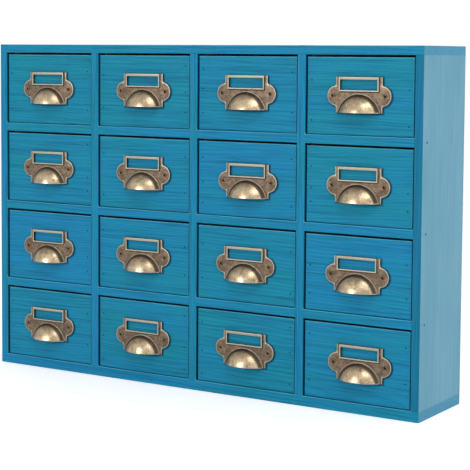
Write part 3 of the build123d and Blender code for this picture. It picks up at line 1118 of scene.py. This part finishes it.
def gathered(name, mesh, places):
    work = bmesh.new()
    for where in places:
        copy = mesh.copy()
        copy.transform(where)
        work.from_mesh(copy)
        bpy.data.meshes.remove(copy)
    return smoothed(made_mesh(work, name), HEAD_SHARP)


bars = [recess_bar(RECESS_LONG, RECESS_WIDE), recess_bar(RECESS_WIDE, RECESS_LONG)]
screw = carved("screw", button("screw head", SCREW_RADIUS, SCREW_HEAD), bars, "DIFFERENCE")
screw_places = [Matrix.Translation((hand * SCREW_SPAN / 2 * MM, -PLATE_THICKNESS * MM, EAR_HEIGHT * MM))
                @ Matrix.Rotation(math.radians(turned), 4, "Y") for hand, turned in SCREW_TURNS.items()]
screws_mesh = gathered("pull screws", screw, screw_places)
screws_mesh.materials.clear()
screws_mesh.materials.append(brass)
print("screws", len(screws_mesh.vertices), "vertices")

# %% [markdown]
# ## Where the brads sit
#
# The fronts were nailed by hand, so each end has two or three brads at uneven heights. Even spacing would
# look machine made. On three drawers they follow the brads that show on the real cabinet, and on the others
# their heights are drawn from the same seeded generator as the boards.

# %% Heights of the brads
BRAD_INSET = 5.0 * MM
BRAD_WANDER = 0.08
BRAD_PATTERNS = ((0.25, 0.75), (0.2, 0.52, 0.82))
SEEN_BRADS = {
    (1, 4): ((0.30, 0.82), (0.41, 0.87)),
    (2, 4): ((0.27, 0.55, 0.73), (0.56, 0.78)),
    (3, 4): ((0.41, 0.78), (0.31, 0.74)),
}


def brad_end():
    return tuple(share + draw.uniform(-BRAD_WANDER, BRAD_WANDER) for share in draw.choice(BRAD_PATTERNS))


def brad_heights(row, column):
    """How far down the front each brad sits, left end then right end, as shares of its height."""
    return SEEN_BRADS.get((row, column)) or (brad_end(), brad_end())


print("drawers with brads as seen", len(SEEN_BRADS))

# %% [markdown]
# ## Fit the drawers
#
# Every pull, its screws and the brads ride their drawer's body, so they slide out with it. The pull takes
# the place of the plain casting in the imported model, and its place is read from that casting's box, because
# two of the sixteen sit a few millimetres off the others.

# %% Fit pulls, screws and brads
brads = 0
for row, column in DRAWERS:
    tag = f"r{row}c{column}"
    body = f"drawer_{tag}"
    low, high = (Vector(corner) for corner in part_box(f"drawer_front_{tag}"))
    pull_low, pull_high = (Vector(corner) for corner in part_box(f"drawer_pull_{tag}"))
    pull = put(f"cup_pull_{tag}", pull_mesh)
    screws = put(f"pull_screws_{tag}", screws_mesh)
    for piece in (pull, screws):
        piece.location = ((pull_low.x + pull_high.x) / 2, low.y, pull_low.z)
        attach(piece, body)
    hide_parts(f"drawer_pull_{tag}")
    places = []
    for x, shares in zip((low.x + BRAD_INSET, high.x - BRAD_INSET), brad_heights(row, column)):
        places += [Matrix.Translation((x, low.y, high.z - share * (high.z - low.z))) for share in shares]
    row_of_brads = put(f"front_brads_{tag}", gathered(f"brads {tag}", brad, places))
    row_of_brads.data.materials.append(steel)
    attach(row_of_brads, body)
    brads += len(places)
print("pulls", len(DRAWERS), "brads", brads)

# %% [markdown]
# ## Camera
#
# The camera stands to the right of the cabinet, level with its top, and looks at it through a long lens. It
# could simply be aimed at the cabinet's middle, but the uprights would then lean together. A small downward
# shift of the picture keeps them nearly parallel, as in a product photograph.

# %% Camera
CAMERA_PLACE = Vector((0.8533, -1.3337, 0.3499))
CAMERA_YAW = math.radians(31.97)
CAMERA_PITCH = math.radians(4.196)
CAMERA_ROLL = math.radians(0.392)
CAMERA_LENS = 114.317
CAMERA_SHIFT = -0.15

camera_data = bpy.data.cameras.new("camera")
camera_data.lens = CAMERA_LENS
camera_data.sensor_width = 36.0
camera_data.shift_y = CAMERA_SHIFT
camera = put("camera", camera_data)
camera.location = CAMERA_PLACE
level_view = Matrix.Rotation(CAMERA_YAW, 3, "Z") @ Matrix.Rotation(math.pi / 2 - CAMERA_PITCH, 3, "X")
camera.rotation_euler = (level_view @ Matrix.Rotation(CAMERA_ROLL, 3, "Z")).to_euler()
bpy.context.scene.camera = camera
bpy.context.scene.view_settings.view_transform = "Standard"
print("camera", tuple(round(v, 3) for v in camera.location))

# %% [markdown]
# ## Floor
#
# The cabinet stands on a pale floor that takes its soft shadow and runs out into white. More light would
# turn the floor white, but it would bleach the stain as well. Light Path does it without light: a glow is
# added only for what the camera, or a reflection in the brass, sees of the floor. The floor is a round sheet
# that turns transparent towards its rim, so that no horizon shows.

# %% Floor
FLOOR_RADIUS = 3.0
FLOOR_DROP = 0.2 * MM
FLOOR_GLOW = 0.3
FLOOR_WHITE = (0.93, 0.93, 0.93, 1)
FLOOR_FADE = (FLOOR_RADIUS * 0.9, FLOOR_RADIUS * 0.25)
WHITE = (1, 1, 1, 1)


def seen_or_mirrored(tree):
    """1 for what the camera, metal or glass sees, 0 for the light that falls on the cabinet."""
    rays = place(tree, "LightPath").outputs
    mirrored = calc(tree, "MAXIMUM", rays["Is Glossy Ray"], rays["Is Transmission Ray"])
    return calc(tree, "MAXIMUM", rays["Is Camera Ray"], mirrored)


def floor_disc():
    work = bmesh.new()
    bmesh.ops.create_circle(work, cap_ends=True, radius=FLOOR_RADIUS, segments=96)
    return made_mesh(work, "floor")


floor = put("floor", floor_disc())
floor.location.z = case_low.z - FLOOR_DROP
material, tree = start_material("Pale floor")
position = place(tree, "TexCoord").outputs["Object"]
distance = place(tree, "VectorMath", {0: position}, operation="LENGTH").outputs["Value"]
surface(tree, {"Base Color": FLOOR_WHITE, "Roughness": 0.9, "Specular IOR Level": 0.0,
               "Alpha": fade(tree, distance, *FLOOR_FADE), "Emission Color": WHITE,
               "Emission Strength": times(tree, seen_or_mirrored(tree), FLOOR_GLOW)})
floor.data.materials.append(material)
print("floor", FLOOR_RADIUS, "m")

# %% [markdown]
# ## Room light
#
# The room is an even pale light that is stronger from behind the cabinet. A picture of a studio could light
# it too, but would leave its own colours in the brass. The light is a plain white here, and what the camera
# and the metal see of the room is white as well, by the same Light Path trick as on the floor.

# %% Room light
ROOM_FRONT = 0.3
ROOM_BEHIND = 0.75
ROOM_TURNS = (-0.6, 0.7)

world = bpy.data.worlds.new("room")
world.use_nodes = True
bpy.context.scene.world = world
tree = world.node_tree
tree.nodes.clear()
direction = place(tree, "TexCoord").outputs["Generated"]
towards = place(tree, "SeparateXYZ", {0: direction}).outputs
behind = fade(tree, towards["Y"], *ROOM_TURNS)
strength = calc(tree, "MULTIPLY_ADD", behind, ROOM_BEHIND, ROOM_FRONT)
lit = place(tree, "Background", {"Color": WHITE, "Strength": strength}).outputs[0]
white = place(tree, "Background", {"Color": WHITE, "Strength": 1.0}).outputs[0]
room = place(tree, "MixShader", {0: seen_or_mirrored(tree), 1: lit, 2: white}).outputs[0]
place(tree, "OutputWorld", {"Surface": room})
print("room light", len(tree.nodes), "nodes")

# %% [markdown]
# ## Lamps
#
# Three soft lamps model the cabinet. The key is small and stands far off on the front left, so its
# reflection is the bright spot on each cup. A lamp above lights the shelves' edges and a broad one on the
# right lights the side. Point lamps would do the same with hard, black shadows, so all three are area lamps.

# %% Lamps
LAMP_AIM = Vector((0, 0, 0.18))
LAMPS = {
    "key": ((-1.4, -3.3, 1.2), (0.45, 0.45), 45),
    "top": ((0.9, -1.5, 2.3), (1.4, 0.9), 22),
    "fill": ((2.0, -0.6, 0.8), (1.2, 1.2), 14),
}

for name, (stand, size, power) in LAMPS.items():
    light = bpy.data.lights.new(name, "AREA")
    light.shape = "RECTANGLE"
    light.size, light.size_y = size
    light.energy = power
    lamp = put(name, light)
    lamp.location = stand
    lamp.rotation_euler = (LAMP_AIM - Vector(stand)).to_track_quat("-Z", "Y").to_euler()
print("lamps", len(LAMPS))

# %% [markdown]
# ## Finish
#
# The finer pieces must not reach past the imported model. This last cell only prints a closing line.

# %% Finish
print("scene built")
